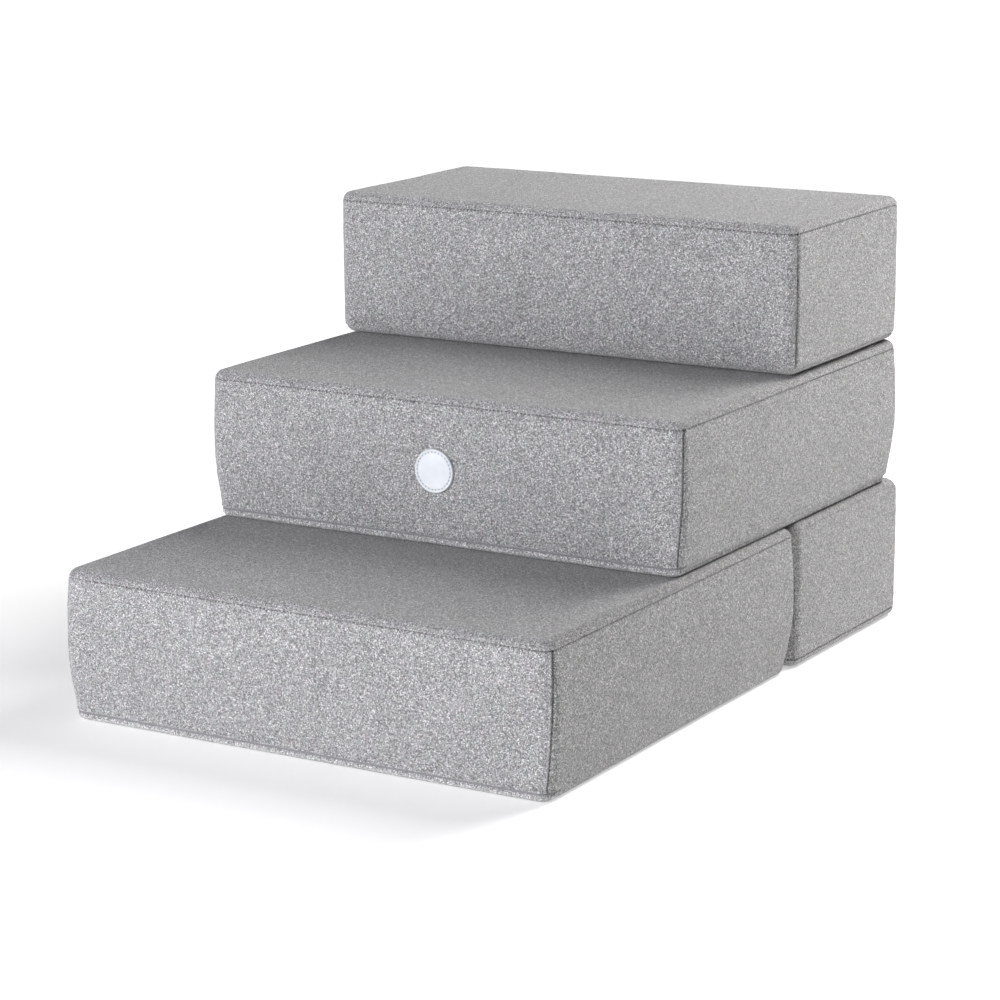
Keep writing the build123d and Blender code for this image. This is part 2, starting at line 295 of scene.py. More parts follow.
class Block:
    """One cushion block: where its CAD solids stand, and which of its features lie where."""

    def __init__(self, name, large, upside_down, seed):
        self.name = name
        self.large = large
        self.upside_down = upside_down
        self.seed = seed
        panels = ["front_panel", "rear_panel", "tread_panel", "base_panel"] if large else [
            "wrap_panel", "zip_panel", "cap_panel"]
        self.panels = [f"{name}_{panel}" for panel in panels + ["left_panel", "right_panel"]]
        corners = [corner for panel in self.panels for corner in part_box(panel)]
        self.low = Vector(min(c[k] for c in corners) for k in range(3))
        self.high = Vector(max(c[k] for c in corners) for k in range(3))
        size = self.high - self.low
        self.half = np.array([size.x / 2, size.y / 2])
        self.height = size.z
        self.seam_z = self.height - TOP_SEAM_DROP
        self.foot_radius = FOOT_RADIUS if large else WRAP_RADIUS
        self.surface = None  # the finished cover's grid and points

    def shaped(self, box_points):
        """Box-grid points moved onto the block's smooth shape, in its own frame."""
        points = round_off(box_points, self.half, self.height, TOP_RADIUS, self.foot_radius)
        return draw_in_base(points, self.half, WAIST) if self.large else points

    def placed(self, points):
        """Points of the block's own frame where the block stands."""
        middle = (self.low + self.high) / 2
        if self.upside_down:
            return points * np.array([1, -1, -1]) + np.array([middle.x, middle.y, self.high.z])
        return points + np.array([middle.x, middle.y, self.low.z])

    def grid(self, fine):
        """The block's grid: a coarse one to inflate, or a fine one with lines close together at the seams."""
        width, depth = 2 * self.half
        if not fine:
            lines = [(width, [0, width]), (depth, [0, depth]), (self.height, [0, self.height])]
            places = [steps_along(n, marks, 4 * MM, 0.15, INFLATE_CELL) for n, marks in lines]
        else:
            side = [0, CORNER_SEAM_OFFSET, depth - CORNER_SEAM_OFFSET, depth]
            rows = [0, SLIT_LOW, SLIT_HIGH, self.seam_z, self.height]
            places = [
                steps_along(width, [0, width], 0.9 * MM, 0.12, 5 * MM),
                steps_along(depth, side, 0.6 * MM, 0.12, 5 * MM),
                steps_along(self.height, rows, 0.5 * MM, 0.12, 4 * MM),
            ]
        xs, ys, zs = places
        return BoxGrid(xs - self.half[0], ys - self.half[1], zs)


def seam_groove(distance, depth, width, shoulder):
    """The dip of a seam, and the slight rise of the folded cloth at each side of it."""
    dip = -depth * bump_at(distance, width)
    rise = shoulder * bump_at(np.abs(distance) - 2.6 * width, 1.6 * width)
    return dip + rise


def smooth_step(t):
    """0 up to t = 0, 1 from t = 1, smooth between them."""
    t = np.clip(t, 0, 1)
    return t * t * (3 - 2 * t)


def gap_to_wall(half, box):
    """How far in from the nearest wall each point of a box grid lies, 0 on the walls."""
    return np.minimum(half[0] - np.abs(box[:, 0]), half[1] - np.abs(box[:, 1]))


def on_side_wall(half, box):
    """Whether each point of a box grid lies on the left or right wall."""
    return np.abs(box[:, 0]) > half[0] - TINY


def slit_share(block, box):
    """1 where a large block's zip slit shows: on the front, the left side and the right front corner."""
    half = block.half
    left_share = np.clip((half[1] - box[:, 1]) / (30 * MM), 0, 1)
    right_share = 1 - smooth_step((box[:, 1] + half[1] - 6 * MM) / (22 * MM))
    side_share = np.where(box[:, 0] < 0, left_share, right_share)
    return np.where(on_side_wall(half, box), side_share, np.where(box[:, 1] < 0, 1.0, 0.0))


def from_corner_seam(block, box):
    """How far round the corner each wall point lies from the upright seam there."""
    end = np.abs(box[:, 1]) - (block.half[1] - CORNER_SEAM_OFFSET)
    past = CORNER_SEAM_OFFSET + block.half[0] - np.abs(box[:, 0])
    return np.where(on_side_wall(block.half, box), end, past) - seam_lean(block, box[:, 2])


def has_upright_seam(block, box, highest):
    """Whether each point is at a height, up to highest, and on a wall where the upright seams show."""
    low_end = SLIT_HIGH if block.large else WRAP_SEAM_RISE
    z = box[:, 2]
    on_wall = gap_to_wall(block.half, box) < TINY
    return on_wall & (z < highest) & (z > low_end) & ~in_fold(block, box)


def on_rear_wall(half, box):
    """Whether each point of a box grid lies on the rear wall, between its two ends."""
    return (gap_to_wall(half, box) < TINY) & ~on_side_wall(half, box) & (box[:, 1] > 0)


def hem_detail(block, box, along):
    """The relief near a large block's base: its hem, zip slit and rim, and the plain seam round its rear."""
    half, z = block.half, box[:, 2]
    # Hem over the zip's slit, on the front and the sides
    there = slit_share(block, box) * (gap_to_wall(half, box) < TINY)
    slit = -0.9 * MM * bump_at(z - SLIT_MIDDLE - 0.3 * MM, 0.9 * MM)
    hem = 0.7 * MM * bump_at(z - SLIT_HIGH - 1.2 * MM, 1.3 * MM)
    fold = -0.35 * MM * bump_at(z - SLIT_HIGH - 4.6 * MM, 1.2 * MM)
    rim = 0.5 * MM * bump_at(z - SLIT_LOW + 2.2 * MM, 1.7 * MM)
    detail = there * (slit + hem + fold + rim)
    # On the right the hem hangs over the rim, which stands back under it on the raised block
    if block.name == "middle_step":
        past_corner = smooth_step((box[:, 1] + half[1] - 6 * MM) / (14 * MM))
        back = past_corner * smooth_step((SLIT_MIDDLE - z) / (2.5 * MM))
        lift = 0.65 + 0.35 * smooth_noise(np.outer(along, [1.0, 0.0, 0.0]), 110 * MM, block.seed + 7)
        detail -= np.where(on_side_wall(half, box) & (box[:, 0] > 0), 4.2 * MM * back * lift, 0)
    # Plain seam of the base round the rear, where the cloth is drawn in
    drawn_in = 1.0 * MM * (1 - smooth_step((z - 14 * MM) / (16 * MM)))
    seam = seam_groove(z - SLIT_LOW, 0.8 * MM, 0.9 * MM, 0.25 * MM)
    return detail + np.where(on_rear_wall(half, box), seam - drawn_in, 0)


def wrap_detail(block, box):
    """The relief of a small block's wrapped edge: its seam, and the zip's slit in the rear's top seam."""
    half, z = block.half, box[:, 2]
    on_rear = on_rear_wall(half, box)
    seam = seam_groove(z - WRAP_SEAM_RISE, 0.8 * MM, 0.9 * MM, 0.2 * MM)
    from_ends = np.clip((half[0] - np.abs(box[:, 0])) / (25 * MM), 0, 1)
    slit = -1.4 * MM * from_ends * bump_at(z - block.seam_z + ZIP_SEAM_DROP, 1.1 * MM)
    return np.where(on_side_wall(half, box) | on_rear, seam, 0) + np.where(on_rear, slit, 0)


def cover_detail(block, box):
    """How far each point of a cover stands out from its smooth shape: seams, hem, zip slit and puckers."""
    half, height = block.half, block.height
    gap = gap_to_wall(half, box)
    on_wall = gap < TINY
    on_side = on_side_wall(half, box)
    z = box[:, 2]
    along = np.where(on_side, box[:, 1], box[:, 0])
    around = np.column_stack([along, np.where(on_side, 1.0, 0.0) + np.sign(box[:, 0]), np.sign(box[:, 1])])

    # Seam round the top
    from_top = np.where(on_wall, z - block.seam_z, height - block.seam_z + gap)
    from_top = np.where(z > height / 2, from_top, 1.0)
    stitched = 0.75 + 0.25 * smooth_noise(around, 5 * MM, block.seed + 1)
    detail = seam_groove(from_top, 1.0 * MM, 0.9 * MM, 0.28 * MM) * stitched
    pucker = smooth_noise(around, 9 * MM, block.seed + 2) * np.exp(-np.abs(from_top) / (9 * MM))
    detail += 0.28 * MM * pucker

    # Upright seams at the corners, on the side walls
    up_corner = np.column_stack([z, np.sign(box[:, 0]), np.sign(box[:, 1])])
    wander = smooth_noise(up_corner, 30 * MM, block.seed + 3)
    from_corner = from_corner_seam(block, box) + 0.5 * MM * wander
    groove = seam_groove(from_corner, 1.2 * MM, 1.0 * MM, 0.0)
    ridge = 0.55 * MM * bump_at(from_corner - 2.6 * MM, 1.3 * MM)
    tug = smooth_noise(up_corner, 8 * MM, block.seed + 4) * np.exp(-np.abs(from_corner) / (8 * MM))
    upright = has_upright_seam(block, box, block.seam_z + 1 * MM)
    detail += np.where(upright, groove + ridge + 0.25 * MM * tug, 0)

    if block.large:
        # The left wall is drawn in and even beside the slit, where the zip's slider runs
        beside_slit = (on_side & (box[:, 0] < 0)) * bump_at(z - SLIT_MIDDLE, 8 * MM)
        detail += hem_detail(block, box, along) - 0.9 * MM * beside_slit
        calm = 1 - 0.7 * beside_slit
    else:
        detail += wrap_detail(block, box)
        calm = 1.0

    # Slack of the cloth between its seams
    slack = smooth_noise(box + [0.0, 0.0, block.seed], 85 * MM, block.seed + 5)
    fine = smooth_noise(box * [1.0, 1.0, 0.6] + [0.0, 0.0, block.seed], 26 * MM, block.seed + 6)
    free = np.clip(np.abs(from_top) / (20 * MM), 0.3, 1)
    detail += calm * free * (0.55 * MM * slack + 0.14 * MM * fine)
    return detail


CROWN_SHARE = 0.3  # of the free inflation that firm foam allows
CROWN_CAP = 5 * MM
GRIP_HEIGHT = 0.6 * MM  # of the rubber dots under a base
STACK_SAG = 1.5 * MM  # how far a cover may swell into the gap between two blocks that lie on each other
SIDE_BELLY = {"lower_step": 4.6 * MM, "middle_step": 3.0 * MM, "top_step": 0.8 * MM, "rear_base": 0.8 * MM}
FRONT_BELLY = 0.8 * MM
FOLD_LIP = 2.6 * MM  # how far the facing walls of the lower module swell towards each other near the top


def seam_lean(block, z):
    """How far an upright seam has moved round its corner, towards the front or rear, at height z."""
    return 5 * MM * (1 - z / block.seam_z) if block.large else 0 * z


def in_fold(block, box):
    """The end of the rear base block that faces the lower step, whose seams are turned in."""
    return (box[:, 1] > 0) & (block.name == "rear_base")


def bare_share(box, cover_from):
    """1 where a block's top is bare, falling to 0 where another block stands on it."""
    if cover_from is None:
        return np.ones(len(box))
    return smooth_step((cover_from - box[:, 1]) / (35 * MM))


def swelling(block, box, normals, crown):
    """How far a cover's points are pushed out: its faces crown, and its walls belly."""
    crown = crown.copy()
    z_share = box[:, 2] / block.height
    flat_normals = normals * [1, 1, 0]
    belly = FRONT_BELLY + (SIDE_BELLY[block.name] - FRONT_BELLY) * flat_normals[:, 0] ** 2
    belly = belly * np.sin(math.pi * np.clip(z_share, 0, 1))
    if block.large:
        # The left wall stays flat beside the slit, where the zip's slider runs
        flat_there = smooth_step((box[:, 2] - SLIT_HIGH) / (30 * MM))
        left_facing = np.clip(-flat_normals[:, 0], 0, 1)
        kept = 1 - left_facing * (1 - flat_there)
        belly = belly * kept
        crown[:, 0] *= kept
    if block.name in ("lower_step", "rear_base"):
        rear_facing = flat_normals[:, 1] > 0.7
        near_top = 1 - z_share if block.upside_down else z_share
        belly = np.where(rear_facing, FOLD_LIP * bump_at(near_top - 0.86, 0.16), belly)
        crown[:, 1] = np.where(rear_facing, 0, crown[:, 1])
    return crown + flat_normals * belly[:, None]


def build_cushion(block, coarse, shifts, cover_from):
    """A block's whole cover as one closed mesh, replacing its panels."""
    grid = block.grid(fine=True)
    box = grid.points
    half, height = block.half, block.height
    points = block.shaped(box)
    crown = coarse.resample(shifts, grid)
    top_share = bare_share(box, cover_from)
    crown[:, 2] = np.where(crown[:, 2] > 0, crown[:, 2] * top_share, 0)
    points = points + swelling(block, box, normals_of(points, grid.faces), crown)
    normals = normals_of(points, grid.faces)
    detail = cover_detail(block, box)
    gap = gap_to_wall(half, box)
    inside = np.clip(gap / (12 * MM), 0, 1)
    underside, upside = box[:, 2] < TINY, box[:, 2] > height - TINY
    detail = np.where(underside, detail * (1 - inside), detail)
    detail = np.where(upside, detail * (1 - inside * (1 - top_share)), detail)
    points = points + normals * detail[:, None]
    on_base = upside if block.upside_down else underside
    points[:, 2] += np.where(on_base, (-GRIP_HEIGHT if block.upside_down else GRIP_HEIGHT) * inside, 0)
    if block.name in ("middle_step", "top_step"):
        points[:, 2] -= STACK_SAG * bump_at(gap, 16 * MM) * np.clip(1 - box[:, 2] / (20 * MM), 0, 1)
    lowest = 0.0 if block.name == "lower_step" else -STACK_SAG
    highest = height if block.upside_down else height + CROWN_CAP
    points[:, 2] = np.clip(points[:, 2], lowest, highest)
    placed = block.placed(points)
    block.surface = (grid, placed)
    obj = mesh_object(f"{block.name}_cushion", placed, grid.faces)
    lay_out_cloth(obj, block, grid)
    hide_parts(*block.panels)
    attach(obj, block.name)
    return obj


def lay_out_cloth(obj, block, grid):
    """UVs in metres along the cloth's threads, each panel with its own place on the roll."""
    mesh = obj.data
    box = grid.points
    shares = (np.array([1, 2]), np.array([0, 2]), np.array([0, 1]))
    uvs = np.zeros((len(grid.faces), 4, 2))
    for side in range(6):
        chosen = grid.sides == side
        flat = box[grid.faces[chosen]][:, :, shares[side // 2]]
        uvs[chosen] = flat + np.array([1.31 * side + 0.37 * block.seed, 0.73 * side + 0.21 * block.seed])
    layer = mesh.uv_layers.new(name="cloth")
    layer.data.foreach_set("uv", uvs.astype(np.float32).ravel())
    # Painted seam shade and rim highlight, kept on the points for the material
    for key, values in zip(("painted_seam_shade", "painted_upright_shading"), painted_seam_shading(block, box)):
        set_values(obj, key, values)
    base_side = 5 if block.name == "rear_base" else 4
    mesh.materials.append(MATERIALS["cover_fabric"])
    mesh.materials.append(MATERIALS["base_fabric"])
    on_base = (grid.sides == base_side) & (block.name in ("lower_step", "middle_step", "rear_base"))
    inside = gap_to_wall(block.half, box)[grid.faces].min(axis=1) > 4 * MM
    mesh.polygons.foreach_set("material_index", (on_base & inside).astype(np.int32))


def painted_seam_shading(block, box):
    """Painted shade along the seams, for the material: 1 on a seam's stitched line, falling off to 0 beside
    it, for the level seams and the upright ones; on a large block also painted shade in the zip's slit and a
    painted highlight on the rim below it.
    """
    on_wall = gap_to_wall(block.half, box) < TINY
    z = box[:, 2]
    # Painted shade on the stitched line of the level seam round the top, and of the upright seams at the
    # corners
    top = np.where(on_wall, bump_at(z - block.seam_z, 0.8 * MM), 0)
    upright = has_upright_seam(block, box, block.seam_z)
    corner = np.where(upright, bump_at(from_corner_seam(block, box), 0.9 * MM), 0)
    if block.large:
        # Painted shade as a thin dark line in the slit, and a painted highlight on the rim below it
        # (negative, as it brightens the cloth)
        share = slit_share(block, box) * on_wall
        # On the raised block's right wall, where the rim stands back under the hem, the painted slit shade
        # and rim highlight run its whole length at 0.8
        if block.name == "middle_step":
            share = np.where(on_side_wall(block.half, box) & (box[:, 0] > 0), 0.8, share)
        slit = 0.18 * bump_at(z - SLIT_MIDDLE, 0.8 * MM)
        corner += share * (slit - 0.5 * bump_at(z - 3.2 * MM, 2.8 * MM))
    return top, corner


# ---- Materials ----


class Nodes:
    """A short way to write a material's nodes."""

    def __init__(self, name):
        self.material = bpy.data.materials.new(name)
        self.material.use_nodes = True
        self.tree = self.material.node_tree
        self.shader = self.tree.nodes["Principled BSDF"]

    def add(self, kind, inputs=None, **settings):
        node = self.tree.nodes.new(kind)
        for key, value in settings.items():
            setattr(node, key, value)
        for key, value in (inputs or {}).items():
            self.put(node.inputs[key], value)
        return node

    def put(self, socket, value):
        if isinstance(value, bpy.types.Node):
            value = next(out for out in value.outputs if out.enabled)
        if isinstance(value, bpy.types.NodeSocket):
            self.tree.links.new(value, socket)
        else:
            socket.default_value = value

    def math(self, operation, first, second=0.0, third=0.0):
        return self.add("ShaderNodeMath", {0: first, 1: second, 2: third}, operation=operation)

    def vector(self, operation, inputs):
        return self.add("ShaderNodeVectorMath", inputs, operation=operation)

    def scaled(self, value, factor, offset):
        return self.math("ADD", self.math("MULTIPLY", value, factor), offset)

    def attribute(self, name):
        return self.add("ShaderNodeAttribute", attribute_name=name).outputs["Fac"]

    def mix(self, share, first, second):
        node = self.add("ShaderNodeMix", data_type="RGBA")
        self.put(node.inputs["Factor"], share)
        self.put(node.inputs["A"], first)
        self.put(node.inputs["B"], second)
        return node.outputs["Result"]

    def noise(self, place, scale, detail, roughness=0.5):
        inputs = {"Vector": place, "Scale": scale, "Detail": detail, "Roughness": roughness}
        return self.add("ShaderNodeTexNoise", inputs)

    def shade(self, inputs):
        """Sets inputs of the material's shader."""
        for key, value in inputs.items():
            self.put(self.shader.inputs[key], value)

    def surface(self, colour, height, strength, distance, tone, spread, roughness):
        """Sets the shader's colour, its bump from height, and its roughness, which tone varies by spread."""
        bump = self.add("ShaderNodeBump", {"Height": height, "Strength": strength, "Distance": distance})
        rough = self.scaled(tone, spread, roughness)
        self.shade({"Base Color": colour, "Normal": bump, "Roughness": rough})

    def ramp(self, value, *stops):
        node = self.add("ShaderNodeValToRGB", {"Fac": value})
        elements = node.color_ramp.elements
        for i, (place, tone) in enumerate(stops):
            element = elements[i] if i < 2 else elements.new(place)
            element.position = place
            element.color = tone if len(tone) == 4 else (*tone, 1)
        return node.outputs["Color"]


def grey(value):
    return (value, value, value, 1)


def woven(name, yarn, dark, mid, light, roughness, sheen, bump, slub=2.4, stitch=0.0):
    """A twill of mixed yarns, laid out by the piece's UVs in metres. yarn is the threads' pitch."""
    n = Nodes(name)
    uv = n.add("ShaderNodeUVMap", uv_map="cloth")
    wobble = n.noise(uv, 90.0, 1.0)
    centred = n.vector("SUBTRACT", {0: wobble.outputs["Color"], 1: (0.5,) * 3})
    shifted = n.vector("SCALE", {0: centred, "Scale": 0.9 * yarn})
    place = n.vector("ADD", {0: uv, 1: shifted})
    split = n.add("ShaderNodeSeparateXYZ", {0: place})
    u = n.math("DIVIDE", split.outputs["X"], yarn)
    v = n.math("DIVIDE", split.outputs["Y"], yarn)
    iu, iv = n.math("FLOOR", u), n.math("FLOOR", v)
    fu, fv = n.math("FRACT", u), n.math("FRACT", v)

    def yarn_tone(index, along, seed):
        """One random tone for each stretch of one yarn."""
        start = n.add("ShaderNodeTexWhiteNoise", {"W": n.math("ADD", index, seed)}, noise_dimensions="1D")
        stretch = n.math("ADD", n.math("DIVIDE", along, slub), n.math("MULTIPLY", start, 7.0))
        cell = n.math("FLOOR", stretch)
        spot = n.add("ShaderNodeCombineXYZ", {"X": index, "Y": cell, "Z": seed})
        return n.add("ShaderNodeTexWhiteNoise", {"Vector": spot}, noise_dimensions="3D").outputs["Value"]

    warp_tone = yarn_tone(iu, v, 3.7)
    weft_tone = yarn_tone(iv, u, 11.3)
    turn = n.math("MODULO", n.math("ADD", n.math("ADD", iu, iv), 4000.0), 4.0)
    warp_over = n.math("LESS_THAN", turn, 1.5)
    tone = n.add("ShaderNodeMix", {"Factor": warp_over, "A": weft_tone, "B": warp_tone}, data_type="FLOAT")
    tone = tone.outputs["Result"]
    stops = ((0.0, dark), (0.97, light), (0.2, dark * 1.25), (0.45, mid), (0.8, mid * 1.12))
    colour = n.ramp(tone, *((place_on, grey(value)) for place_on, value in stops))
    # Round yarns: a painted highlight on their crowns and painted shade between them
    hump_u = n.math("SINE", n.math("MULTIPLY", fu, math.pi))
    hump_v = n.math("SINE", n.math("MULTIPLY", fv, math.pi))
    hump = n.add("ShaderNodeMix", {"Factor": warp_over, "A": hump_v, "B": hump_u}, data_type="FLOAT")
    hump = hump.outputs["Result"]
    shade = n.scaled(hump, 0.45, 0.66)
    drift = n.noise(uv, 14.0, 3.0, 0.6)
    total = n.math("MULTIPLY", shade, n.scaled(drift.outputs["Fac"], 0.22, 0.89))
    if stitch:
        # Painted shade in the needle holes of the level seams, painted shade along the upright seams and the
        # slit, and the painted highlight on the rim
        along = n.add("ShaderNodeSeparateXYZ", {0: uv}).outputs["X"]
        wave = n.math("SINE", n.math("MULTIPLY", along, 2 * math.pi / stitch))
        seam_hole_shade = n.math("MULTIPLY", n.attribute("painted_seam_shade"), n.scaled(wave, 0.3, 0.48))
        level_shade = n.math("SUBTRACT", 1.0, seam_hole_shade)
        upright_shade = n.math("SUBTRACT", 1.0, n.math("MULTIPLY", n.attribute("painted_upright_shading"), 0.6))
        total = n.math("MULTIPLY", total, n.math("MULTIPLY", level_shade, upright_shade))
    hue = n.noise(uv, 110.0, 2.0).outputs["Color"]
    hue = n.vector("MULTIPLY_ADD", {0: hue, 1: (0.09,) * 3, 2: (0.955,) * 3})
    tint = n.vector("MULTIPLY", {0: colour, 1: hue})
    lit = n.vector("SCALE", {0: tint, "Scale": total})
    fuzz = n.noise(uv, 1800.0, 2.0)
    height = n.math("ADD", hump, n.math("MULTIPLY", fuzz, 0.35))
    n.surface(lit, height, bump, 0.25 * MM, fuzz, 0.12, roughness)
    n.shade({"Sheen Weight": sheen, "Sheen Roughness": 0.45, "Specular IOR Level": 0.25})
    return n.material


def leather():
    """White coated leather with a faint grain, and painted shade in its needle holes."""
    n = Nodes("patch_leather")
    at = n.add("ShaderNodeTexCoord").outputs["Object"]
    grain = n.add("ShaderNodeTexVoronoi", {"Vector": at, "Scale": 900.0}, feature="DISTANCE_TO_EDGE")
    drift = n.noise(at, 60.0, 3.0)
    colour = n.ramp(drift, (0.3, (0.74, 0.78, 0.82)), (0.7, (0.84, 0.87, 0.89)))
    hole = n.attribute("needle_hole_shade")
    height = n.math("MINIMUM", grain, 0.08)
    n.surface(n.mix(hole, colour, grey(0.16)), height, 0.5, 0.2 * MM, drift, 0.2, 0.38)
    return n.material


def thread(name, value):
    """Twisted sewing thread."""
    n = Nodes(name)
    at = n.add("ShaderNodeTexCoord").outputs["Object"]
    twist = n.add("ShaderNodeTexWave", {"Vector": at, "Scale": 900.0, "Distortion": 2.0})
    colour = n.ramp(twist, (0.0, grey(value * 0.8)), (1.0, grey(value)))
    n.surface(colour, twist, 0.4, 0.1 * MM, twist, 0.2, 0.5)
    return n.material


def speckled(name, low, high, scale, roughness, metallic=0.0, bump=0.3):
    """A plain material with fine mottling, for foam, plastic, painted metal and strips."""
    n = Nodes(name)
    at = n.add("ShaderNodeTexCoord").outputs["Object"]
    noise = n.noise(at, scale, 4.0, 0.6)
    n.surface(n.ramp(noise, (0.3, low), (0.7, high)), noise, bump, 0.3 * MM, noise, 0.25, roughness)
    n.shade({"Metallic": metallic})
    return n.material


SEAM_STITCH = 4 * MM
MATERIALS = {
    "cover_fabric": woven(
        "cover_fabric", 0.78 * MM, 0.165, 0.41, 0.85, 0.75, 0.35, 0.7, slub=1.9, stitch=SEAM_STITCH),
    "base_fabric": woven("base_fabric", 1.2 * MM, 0.05, 0.09, 0.15, 0.8, 0.1, 0.6),
    "foam": speckled("foam", (0.72, 0.68, 0.52), (0.9, 0.87, 0.74), 700.0, 0.75, bump=0.9),
    "zip_coil": speckled("zip_coil", (0.2, 0.2, 0.21), (0.3, 0.3, 0.31), 500.0, 0.4),
    "zip_metal": speckled(
        "zip_metal", (0.25, 0.25, 0.26), (0.34, 0.34, 0.35), 260.0, 0.28, metallic=0.8, bump=0.15),
    "hinge_tape": woven("hinge_tape", 0.8 * MM, 0.16, 0.3, 0.5, 0.75, 0.2, 0.7, slub=40.0),
    "hook_strip": speckled("hook_strip", (0.14, 0.14, 0.15), (0.4, 0.4, 0.41), 1500.0, 0.55, bump=1.0),
    "loop_strip": speckled("loop_strip", (0.22, 0.22, 0.23), (0.42, 0.42, 0.43), 1100.0, 0.8, bump=1.0),
    "patch_leather": leather(),
    "patch_thread": thread("patch_thread", 0.9),
}


# ---- Foam, strips, zips and patch ----

FOAM_INSET = 6 * MM


def finish_piece(obj, slot, body, *nodes):
    """Gives a piece its material, its body and the CAD nodes that it stands for."""
    obj.data.materials.append(MATERIALS[slot])
    if nodes:
        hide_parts(*nodes)
    if body:
        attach(obj, body)
    return obj


def build_foam(block):
    """A block's foam core, cut a little smaller than its cover."""
    half, height = block.half - FOAM_INSET, block.height - 2 * FOAM_INSET
    places = [steps_along(n, [0, n], 3 * MM, 0.2, 12 * MM) for n in (2 * half[0], 2 * half[1], height)]
    grid = BoxGrid(places[0] - half[0], places[1] - half[1], places[2])
    points = round_off(grid.points, half, height, TOP_RADIUS, TOP_RADIUS)
    if block.large:
        points = draw_in_base(points, half, WAIST)
    pores = smooth_noise(points, 7 * MM, block.seed + 20)
    points = points + normals_of(points, grid.faces) * 0.25 * MM * pores[:, None]
    points[:, 2] += FOAM_INSET
    obj = mesh_object(f"{block.name}_foam", block.placed(points), grid.faces)
    finish_piece(obj, "foam", block.name, f"{block.name}_foam_core")


def strip_mesh(name, width, length, thickness, relief, bend=None):
    """A closed flat strip, width along X and length along Y, with a stitched line inside its edges."""
    stitch = 2.6 * MM
    xs = steps_along(width, [0, stitch, width - stitch, width], 0.35 * MM, 0.2, 1.5 * MM) - width / 2
    marks = [0, stitch, length - stitch, length] + ([length / 2] if bend else [])
    ys = steps_along(length, marks, 0.3 * MM, 0.2, 1.5 * MM) - length / 2
    grid = BoxGrid(xs, ys, np.array([-0.5, -0.2, 0.2, 0.5]) * thickness)
    points = grid.points.copy()
    gap = np.minimum(width / 2 - np.abs(points[:, 0]), length / 2 - np.abs(points[:, 1]))
    thin = 1 - 0.5 * bump_at(gap, 0.5 * MM) - 0.35 * bump_at(gap - stitch, 0.4 * MM)
    points[:, 2] *= thin * (1 - np.clip(relief(points), 0, 1) * np.clip(gap / stitch - 1, 0, 1) * 0.5)
    if bend:
        points = bend(points)
    obj = mesh_object(name, points, grid.faces)
    layer = obj.data.uv_layers.new(name="cloth")
    layer.data.foreach_set("uv", grid.points[grid.faces][:, :, :2].astype(np.float32).ravel())
    return obj


HOOK_PITCH = 3.1 * MM
LOOP_SIZE = 2.4 * MM
RIB_PITCH = 3.4 * MM


def hooks(points):
    waves = np.sin(points[:, :2] * 2 * math.pi / HOOK_PITCH)
    return 0.5 + 0.5 * waves[:, 0] * waves[:, 1]


def loops(points):
    return 0.5 + 0.5 * smooth_noise(points * [1, 1, 0], LOOP_SIZE, 31)


def ribs(points):
    return 0.3 + 0.3 * np.sin(points[:, 1] * 2 * math.pi / RIB_PITCH)


def build_fastening_strips():
    for node, slot, relief, body in (
        ("middle_step_hook_strip_front", "hook_strip", hooks, "middle_step"),
        ("middle_step_hook_strip_rear", "hook_strip", hooks, "middle_step"),
        ("lower_step_loop_strip", "loop_strip", loops, "lower_step"),
        ("rear_base_loop_strip", "loop_strip", loops, "rear_base"),
    ):
        low, high = (Vector(corner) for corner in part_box(node))
        size = high - low
        obj = strip_mesh(f"{node}_fabric", size.x, size.y, size.z, relief)
        move_points(obj, (low + high) / 2)
        finish_piece(obj, slot, body, node)


def move_points(obj, by):
    moved = points_of(obj.data) + np.array(by)
    obj.data.vertices.foreach_set("co", moved.astype(np.float32).ravel())
    obj.data.update()


def build_hinge_tapes():
    """The two cloth hinges, each one strip where its two CAD halves meet: the base one lies flat, and the top
    one is folded over along its fold line.
    """
    front_low, front_high = (Vector(corner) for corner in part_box("base_hinge_tape_front"))
    rear_high = Vector(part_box("base_hinge_tape_rear")[1])
    width, thickness = front_high.x - front_low.x, front_high.z - front_low.z
    length = rear_high.y - front_low.y
    fold_y, level = (front_low.y + rear_high.y) / 2, (front_low.z + front_high.z) / 2
    flat = strip_mesh("base_hinge_tape", width, length, thickness, ribs)
    move_points(flat, (0, fold_y, level))
    finish_piece(flat, "hinge_tape", None, "base_hinge_tape_front", "base_hinge_tape_rear")
    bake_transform(flat)

    lower_low, lower_high = (Vector(corner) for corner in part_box("top_hinge_tape_lower"))
    upper_high = Vector(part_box("top_hinge_tape_upper")[1])
    middle = (lower_low.z + upper_high.z) / 2
    radius = middle - (lower_low.z + lower_high.z) / 2
    fold_y = lower_high.y

    def fold_over(points):
        """The strip's rear half turned up and back over its front half."""
        along, up = points[:, 1], points[:, 2]
        half_turn = math.pi / 2 * radius
        angle = np.clip(along / radius, -math.pi / 2, math.pi / 2)
        past = np.maximum(np.abs(along) - half_turn, 0)
        return np.column_stack([
            points[:, 0],
            fold_y + (radius - up) * np.cos(angle) - past,
            middle + (radius - up) * np.sin(angle),
        ])

    folded = strip_mesh("top_hinge_tape", width, length, thickness, ribs, bend=fold_over)
    finish_piece(folded, "hinge_tape", None, "top_hinge_tape_lower", "top_hinge_tape_upper")
    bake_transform(folded)


TOOTH_PITCH = 2.2 * MM
# The coil's section: millimetres up, and out of the wall
COIL_PROFILE = ((-1.1, 0.0), (-0.6, 0.8), (0.0, 0.55), (0.6, 0.8), (1.1, 0.0), (0.8, -0.9), (-0.8, -0.9))


